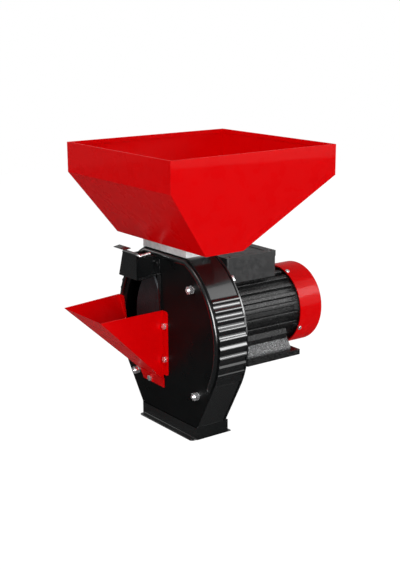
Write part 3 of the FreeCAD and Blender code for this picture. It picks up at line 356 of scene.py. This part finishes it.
def narrow_shield(x, y, z):
    """Rear end shield drawn in to the barrel in front of the fan cover."""
    radius = math.hypot(x - SHAFT_X, z - SHAFT_Z)
    if y < COWL_Y0 and radius > BARREL_R:
        x, z = scaled_about(x, z, SHAFT_Z, BARREL_R / radius)
    return x, y, z


def wide_cowl(x, y, z):
    """Fan cover and its screws, wider and a little shorter."""
    x, z = scaled_about(x, z, SHAFT_Z, COWL_R / COWL_R_OLD)
    return x, COWL_Y0 + (y - COWL_Y0_OLD) * COWL_LENGTH / COWL_LENGTH_OLD, z


def deep_lid(x, y, z):
    """Terminal box lid whose lower edge reaches further down."""
    return x, y, z - LID_DROP if z < LID_FOOT_Z else z


def leaning(x, y, z):
    """Left side of the hood, flap or hinge pin: it leans in, most at the height of the pin."""
    share = min(max((z - HOOD_FOOT_Z) / (PIN_Z - HOOD_FOOT_Z), 0.0), 1.0)
    if LEAN_FROM_X < x < HOOD_LEFT_X:
        x += HOOD_LEAN * share
    return x, y, z


def leaning_flap(x, y, z):
    """Flap with a leaning left side, and a flatter tab that is cut shorter at the right."""
    tab_foot = PIN_Z + TAB_FOOT_RISE
    if z <= tab_foot:
        return leaning(x, y, z)
    if x > HOOD_LEFT_X:
        x = TAB_RIGHT_X
    return x, y, tab_foot + (z - tab_foot) * TAB_RISE_SHARE


def leaning_hood(x, y, z):
    """Hood with a leaning left side, and the strip beside the window further right."""
    if JAMB_X0 < x < JAMB_X1 and y > JAMB_Y and z < JAMB_TOP_Z:
        x += JAMB_SHIFT
    return leaning(x, y, z)


RESHAPE = {
    "front_cover": flat_cover, "drum_shell": smooth_shell, "rear_end_shield": narrow_shield,
    "motor_housing": bare_barrel, "fan_cover": wide_cowl, "fan_cover_screws": wide_cowl,
    "terminal_box_lid": deep_lid, "feed_flap": leaning_flap, "feed_hood": leaning_hood,
    "flap_hinge_pin": leaning,
}

# Width of the rounding on each node that gets a rounded copy
SKIN_EDGES = {
    "hopper": 0.0009, "front_cover": 0.0007, "drum_shell": 0.0006, "back_plate": 0.0006,
    "outlet_duct": 0.0007, "feed_tray": 0.0005, "feed_hood": 0.0005, "feed_flap": 0.0005,
    "hopper_neck": 0.0006, "slide_gate": 0.0006, "terminal_box": 0.0010, "terminal_box_lid": 0.0014,
    "motor_housing": 0.0009, "front_end_shield": 0.0010, "rear_end_shield": 0.0010, "fan_cover": 0.0006,
    "cable_gland": 0.0006, "tray_bolts": 0.0006, "hood_screws": 0.0005, "flange_bolts": 0.0007,
    "neck_screws": 0.0005, "fan_cover_screws": 0.0006, "terminal_lid_screws": 0.0004, "cover_nuts": 0.0006,
    "cover_studs": 0.0006, "flap_hinge_pin": 0.0003,
}


# Mesh helpers
def add_piece(name, mesh, body, slot):
    piece = bpy.data.objects.new(name, mesh)
    bpy.context.scene.collection.objects.link(piece)
    mesh.materials.clear()
    mesh.materials.append(MATERIALS[slot])
    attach(piece, body)
    return piece


def apply_modifiers(piece):
    graph = bpy.context.evaluated_depsgraph_get()
    mesh = bpy.data.meshes.new_from_object(piece.evaluated_get(graph))
    old = piece.data
    piece.modifiers.clear()
    piece.data = mesh
    bpy.data.meshes.remove(old)


def smooth_by_angle(mesh, degrees):
    """Shade smooth, with sharp edges where faces meet at more than the angle."""
    work = bmesh.new()
    work.from_mesh(mesh)
    limit = math.radians(degrees)
    for face in work.faces:
        face.smooth = True
    for edge in work.edges:
        edge.smooth = len(edge.link_faces) == 2 and edge.calc_face_angle(math.pi) < limit
    work.to_mesh(mesh)
    work.free()


def rounded_copy(node, width):
    """Stand-in for a CAD node with its edges rounded as folded or moulded edges are."""
    mesh = NODES[node].data.copy()
    work = bmesh.new()
    work.from_mesh(mesh)
    if node in RESHAPE:
        for vertex in work.verts:
            vertex.co = RESHAPE[node](*vertex.co)
    bmesh.ops.remove_doubles(work, verts=work.verts, dist=WELD_DISTANCE)
    bmesh.ops.dissolve_limit(work, angle_limit=math.radians(FLAT_ANGLE), verts=work.verts, edges=work.edges)
    work.to_mesh(mesh)
    work.free()
    if mesh.has_custom_normals:
        mesh.attributes.remove(mesh.attributes["custom_normal"])
    piece = add_piece(node + "_skin", mesh, BODY_OF[node], SLOT_SWAP.get(node, SLOT_OF[node]))
    bevel = piece.modifiers.new("edges", "BEVEL")
    bevel.width = width
    bevel.segments = BEVEL_SEGMENTS
    bevel.limit_method = "ANGLE"
    bevel.angle_limit = math.radians(BEVEL_ANGLE)
    bevel.use_clamp_overlap = True
    bevel.harden_normals = False
    bevel.miter_outer = "MITER_ARC"
    apply_modifiers(piece)
    smooth_by_angle(piece.data, SKIN_SMOOTH_ANGLE)
    weighted = piece.modifiers.new("normals", "WEIGHTED_NORMAL")
    weighted.keep_sharp = True
    weighted.weight = SKIN_NORMAL_WEIGHT
    apply_modifiers(piece)
    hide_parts(node)
    return piece


def revolve(name, profile, centre, axis, body, slot):
    """Turn (along, radius) points about an axis through the centre."""
    work = bmesh.new()
    turn = Vector((0.0, 0.0, 1.0)).rotation_difference(Vector(axis).normalized()).to_matrix()
    rings = []
    for along, radius in profile:
        if radius < WELD_DISTANCE:
            rings.append([work.verts.new(turn @ Vector((0.0, 0.0, along)) + Vector(centre))])
            continue
        ring = []
        for i in range(TURNED_STEPS):
            angle = 2 * math.pi * i / TURNED_STEPS
            point = Vector((radius * math.cos(angle), radius * math.sin(angle), along))
            ring.append(work.verts.new(turn @ point + Vector(centre)))
        rings.append(ring)
    for low, high in zip(rings, rings[1:]):
        for i in range(TURNED_STEPS):
            j = (i + 1) % TURNED_STEPS
            corners = [low[i % len(low)], low[j % len(low)], high[j % len(high)], high[i % len(high)]]
            unique = list(dict.fromkeys(corners))
            if len(unique) > 2:
                work.faces.new(unique)
    bmesh.ops.recalc_face_normals(work, faces=work.faces)
    mesh = bpy.data.meshes.new(name)
    work.to_mesh(mesh)
    work.free()
    smooth_by_angle(mesh, TURNED_SMOOTH_ANGLE)
    return add_piece(name, mesh, body, slot)


def solid_from_rings(name, rings, node, smooth, width=0.0):
    """Closed mesh through equal rings of points, capped at both ends, on the body and slot of a node."""
    work = bmesh.new()
    rows = [[work.verts.new(point) for point in ring] for ring in rings]
    for low, high in zip(rows, rows[1:]):
        for i in range(len(low)):
            j = (i + 1) % len(low)
            work.faces.new((low[i], low[j], high[j], high[i]))
    work.faces.new(rows[0])
    work.faces.new(rows[-1])
    bmesh.ops.recalc_face_normals(work, faces=work.faces)
    mesh = bpy.data.meshes.new(name)
    work.to_mesh(mesh)
    work.free()
    piece = add_piece(name, mesh, BODY_OF[node], SLOT_OF[node])
    if width:
        bevel = piece.modifiers.new("edges", "BEVEL")
        bevel.width = width
        bevel.segments = BEVEL_SEGMENTS
        apply_modifiers(piece)
    smooth_by_angle(piece.data, smooth)
    return piece


def drawn_along_y(outline, y0, y1):
    """Two equal rings of (x, z) points, for a straight piece along Y."""
    return [[(x, y, z) for x, z in outline] for y in (y0, y1)]


# Added forms
def arc_points(radius, start, end, steps):
    """Points of an arc about the drum's centre, both ends included."""
    return [polar(radius, start + (end - start) * i / steps, SHAFT_X, DRUM_Z) for i in range(steps + 1)]


def add_bead():
    """Pressed bead round the front cover, from above the tray over the top and down the right side."""
    radius = DRUM_R - BEAD_INSET
    top = DRUM_TOP - BEAD_INSET
    corner = math.degrees(math.asin((top - DRUM_Z) / radius))
    start = 180.0 - math.degrees(math.asin((BEAD_TRAY_Z - DRUM_Z) / radius))
    end = math.degrees(math.asin((BEAD_FOOT_Z - DRUM_Z) / radius))
    left = arc_points(radius, start, 180.0 - corner, BEAD_LEFT_STEPS)
    right = arc_points(radius, corner, end, BEAD_RIGHT_STEPS)
    path = [Vector(point) for point in left + right]
    last = len(path) - 1
    rings = []
    for i, point in enumerate(path):
        ahead = path[min(i + 1, last)] - path[max(i - 1, 0)]
        side = Vector((ahead.y, -ahead.x)).normalized()
        taper = min(1.0, BEAD_END_SHARE + BEAD_END_RISE * min(i, last - i))
        ring = []
        for k in range(BEAD_ARCH_STEPS + 1):
            turn = math.pi * k / BEAD_ARCH_STEPS
            across = point + side * BEAD_HALF * math.cos(turn)
            height = BEAD_HEIGHT * taper * math.sin(turn) ** BEAD_FULLNESS
            ring.append((across.x, COVER_Y - height, across.y))
        for half in (-BEAD_HALF, BEAD_HALF):
            ring.append((point.x + side.x * half, COVER_Y + BEAD_SINK, point.y + side.y * half))
        rings.append(ring)
    solid_from_rings("cover_bead", rings, "front_cover", 50.0)


def add_ribs():
    """Soft ribs pressed across the drum's round sides, as one corrugated band on each side."""
    for side, name in ((1, "right"), (-1, "left")):
        outer = []
        for i in range(RIB_COUNT * RIB_OUTER_STEPS + 1):
            swell = (1.0 - math.cos(2.0 * math.pi * i / RIB_OUTER_STEPS)) / 2.0
            angle = RIB_TOP_ANGLE - i * RIB_PITCH / RIB_OUTER_STEPS
            x, z = polar(DRUM_R + RIB_LIFT + RIB_HEIGHT * swell ** RIB_SHARPNESS, angle, 0.0, DRUM_Z)
            outer.append((SHAFT_X + side * x, z))
        inner = []
        for i in range(RIB_COUNT * RIB_INNER_STEPS + 1):
            angle = RIB_TOP_ANGLE - i * RIB_PITCH / RIB_INNER_STEPS
            x, z = polar(DRUM_R - RIB_SINK, angle, 0.0, DRUM_Z)
            inner.append((SHAFT_X + side * x, z))
        rings = drawn_along_y(outer + inner[::-1], RIB_Y0, RIB_Y1)
        solid_from_rings("drum_ribs_" + name, rings, "drum_shell", 60.0)


def add_fins():
    """Coarse cast fins along the upper part of the motor barrel, shorter under the terminal box."""
    for i in range(FIN_COUNT):
        angle = FIN_PHASE + i * 360.0 / FIN_COUNT
        rise = math.sin(math.radians(angle))
        if SHAFT_Z + FIN_TIP_R * rise < FIN_LOW_Z:
            continue
        tip = min(FIN_TIP_R, (BOX_SEAT_Z - SHAFT_Z) / rise) if rise > 0 else FIN_TIP_R
        root = BARREL_R - FIN_SINK
        outline = [polar(root, angle - FIN_ROOT_TURN), polar(tip, angle - FIN_TIP_TURN),
                   polar(tip, angle + FIN_TIP_TURN), polar(root, angle + FIN_ROOT_TURN)]
        rings = drawn_along_y(outline, FIN_Y0, FIN_Y1)
        solid_from_rings(f"motor_fin_{i + 1}", rings, "motor_housing", 35.0, FIN_EDGE)


def add_foot_flares():
    """Sloping webs that run out from under the barrel to the foot plates."""
    for side, name in ((1, "right"), (-1, "left")):
        outline = [(SHAFT_X + side * x, SHAFT_Z + z) for x, z in FLARE_OUTLINE]
        rings = drawn_along_y(outline, FLARE_Y0, FLARE_Y1)
        flare = solid_from_rings("foot_flare_" + name, rings, "motor_housing", 35.0, FLARE_EDGE)
        # The webs take the lighter copy of the cast paint: painted light on their sloping faces, with
        # painted glints
        flare.data.materials[0] = MATERIALS["cast_painted_light"]


def add_back_plate_bolts():
    """Hexagon bolts with washers on the back plate, near the drum's edge."""
    for number, angle in enumerate(BACK_BOLT_ANGLES, 1):
        x, z = polar(BACK_BOLT_REACH, angle, SHAFT_X, DRUM_Z)
        revolve(f"back_bolt_washer_{number}", BACK_WASHER_PROFILE, (x, BACK_PLATE_Y, z), (0, 1, 0),
                BODY_OF["cover_nuts"], SLOT_OF["cover_nuts"])
        rings = []
        for along, radius in BACK_HEAD_PROFILE:
            corners = [polar(radius, 60 * k + BACK_HEAD_TURN, x, z) for k in range(6)]
            rings.append([(corner_x, BACK_PLATE_Y + along, corner_z) for corner_x, corner_z in corners])
        solid_from_rings(f"back_bolt_head_{number}", rings, "cover_nuts", 25.0, BACK_HEAD_EDGE)


def dress_nodes():
    for node, item in NODES.items():
        item.data.materials.clear()
        item.data.materials.append(MATERIALS[SLOT_OF[node]])
    # Steel inside the drum takes the near-black steel: painted shade
    for node in SHADED_STEEL:
        NODES[node].data.materials[0] = MATERIALS["steel_painted_shade"]
    for node, width in SKIN_EDGES.items():
        piece = rounded_copy(node, width)
        if node in SHEET_BLACK:
            piece.data.materials[0] = MATERIALS["black_sheet"]


# Studio
def add_camera():
    azimuth = math.radians(CAMERA_AZIMUTH)
    elevation = math.radians(CAMERA_ELEVATION)
    back = Vector((math.sin(azimuth) * math.cos(elevation), -math.cos(azimuth) * math.cos(elevation),
                   math.sin(elevation)))
    right = Vector((math.cos(azimuth), math.sin(azimuth), 0.0))
    up = back.cross(right)
    rolled_right = math.cos(CAMERA_ROLL) * right + math.sin(CAMERA_ROLL) * up
    rolled_up = math.cos(CAMERA_ROLL) * up - math.sin(CAMERA_ROLL) * right
    data = bpy.data.cameras.new("camera")
    data.lens = FOCAL_PX / IMAGE_HEIGHT * SENSOR
    data.sensor_width = SENSOR
    data.sensor_fit = "AUTO"
    data.clip_start = 0.05
    camera = bpy.data.objects.new("camera", data)
    bpy.context.scene.collection.objects.link(camera)
    axes = Matrix((rolled_right, rolled_up, back)).transposed().to_4x4()
    camera.matrix_world = Matrix.Translation(CAMERA_PLACE) @ axes
    bpy.context.scene.camera = camera


def add_world():
    """Plain light from all sides that the camera sees as white and mirror-like rays as grey."""
    world = bpy.data.worlds.new("studio")
    world.use_nodes = True
    tree = world.node_tree
    background = tree.nodes["Background"]
    background.inputs["Color"].default_value = (1.0, 1.0, 1.0, 1.0)
    path = tree.nodes.new("ShaderNodeLightPath")
    seen = tree.nodes.new("ShaderNodeMix")
    seen.inputs["A"].default_value = WORLD_LIGHT
    seen.inputs["B"].default_value = WORLD_CAMERA
    link(tree, path.outputs["Is Camera Ray"], seen.inputs["Factor"])
    mirrored = tree.nodes.new("ShaderNodeMix")
    mirrored.inputs["B"].default_value = WORLD_GLOSSY
    link(tree, seen.outputs["Result"], mirrored.inputs["A"])
    link(tree, path.outputs["Is Glossy Ray"], mirrored.inputs["Factor"])
    link(tree, mirrored.outputs["Result"], background.inputs["Strength"])
    bpy.context.scene.world = world


def floor_material():
    """Pale floor that keeps the object's shadow, white to the camera and dark to mirror-like rays."""
    material, tree, shader = new_material("floor")
    shader.inputs["Base Color"].default_value = (FLOOR_GREY, FLOOR_GREY, FLOOR_GREY, 1.0)
    shader.inputs["Roughness"].default_value = 0.9
    shader.inputs["Specular IOR Level"].default_value = 0.0
    glow = tree.nodes.new("ShaderNodeEmission")
    glow.inputs["Color"].default_value = (1.0, 1.0, 1.0, 1.0)
    path = tree.nodes.new("ShaderNodeLightPath")
    seen = tree.nodes.new("ShaderNodeMix")
    seen.inputs["A"].default_value = FLOOR_GLOSSY
    seen.inputs["B"].default_value = FLOOR_CAMERA
    link(tree, path.outputs["Is Camera Ray"], seen.inputs["Factor"])
    link(tree, seen.outputs["Result"], glow.inputs["Strength"])
    either = tree.nodes.new("ShaderNodeMath")
    either.operation = "MAXIMUM"
    link(tree, path.outputs["Is Camera Ray"], either.inputs[0])
    link(tree, path.outputs["Is Glossy Ray"], either.inputs[1])
    share = tree.nodes.new("ShaderNodeMath")
    share.operation = "MULTIPLY"
    share.inputs[1].default_value = FLOOR_GLOW_SHARE
    link(tree, either.outputs["Value"], share.inputs[0])
    blend = tree.nodes.new("ShaderNodeMixShader")
    link(tree, share.outputs["Value"], blend.inputs["Fac"])
    link(tree, shader.outputs["BSDF"], blend.inputs[1])
    link(tree, glow.outputs["Emission"], blend.inputs[2])
    link(tree, blend.outputs["Shader"], tree.nodes["Material Output"].inputs["Surface"])
    return material


def add_floor():
    mesh = bpy.data.meshes.new("floor")
    work = bmesh.new()
    bmesh.ops.create_grid(work, x_segments=1, y_segments=1, size=FLOOR_HALF)
    bmesh.ops.translate(work, verts=work.verts, vec=(0.0, 0.0, CAD_BOX[0][2]))
    work.to_mesh(mesh)
    work.free()
    floor = bpy.data.objects.new("floor", mesh)
    bpy.context.scene.collection.objects.link(floor)
    mesh.materials.append(floor_material())


def softbox(name, place, width, height, watts, only_gloss=False):
    """Area lamp that faces the middle of the mill. With only_gloss it shows in reflections alone."""
    data = bpy.data.lights.new(name, "AREA")
    data.shape = "RECTANGLE"
    data.size = width
    data.size_y = height
    data.energy = watts
    lamp = bpy.data.objects.new(name, data)
    lamp.location = place
    bpy.context.scene.collection.objects.link(lamp)
    lamp.visible_diffuse = not only_gloss
    lamp.visible_camera = False
    middle = Vector((0.0, 0.05, 0.25))
    lamp.rotation_euler = (middle - lamp.location).to_track_quat("-Z", "Y").to_euler()


def add_lights():
    softbox("key", (2.1, -0.3, 0.62), width=1.2, height=1.2, watts=22.0)
    softbox("overhead", (0.2, 0.1, 2.2), width=1.4, height=1.4, watts=13.0)
    softbox("front", (0.2, -1.45, 2.45), width=1.0, height=1.0, watts=27.0)
    softbox("left", (-1.8, -0.5, 1.1), width=1.0, height=1.0, watts=6.0)
    softbox("rear", (0.6, 2.2, 1.2), width=1.0, height=1.0, watts=10.0)
    softbox("veil", (1.60, 1.35, 1.05), width=2.2, height=2.2, watts=30.0, only_gloss=True)
    softbox("tower", (1.30, 1.15, 0.98), width=1.0, height=0.55, watts=20.0, only_gloss=True)
    softbox("wide_front", (1.75, -1.90, 0.85), width=2.4, height=1.3, watts=190.0, only_gloss=True)


dress_nodes()
add_bead()
add_ribs()
add_fins()
add_foot_flares()
add_back_plate_bolts()
add_camera()
add_world()
add_floor()
add_lights()
bpy.context.scene.view_settings.view_transform = "Standard"
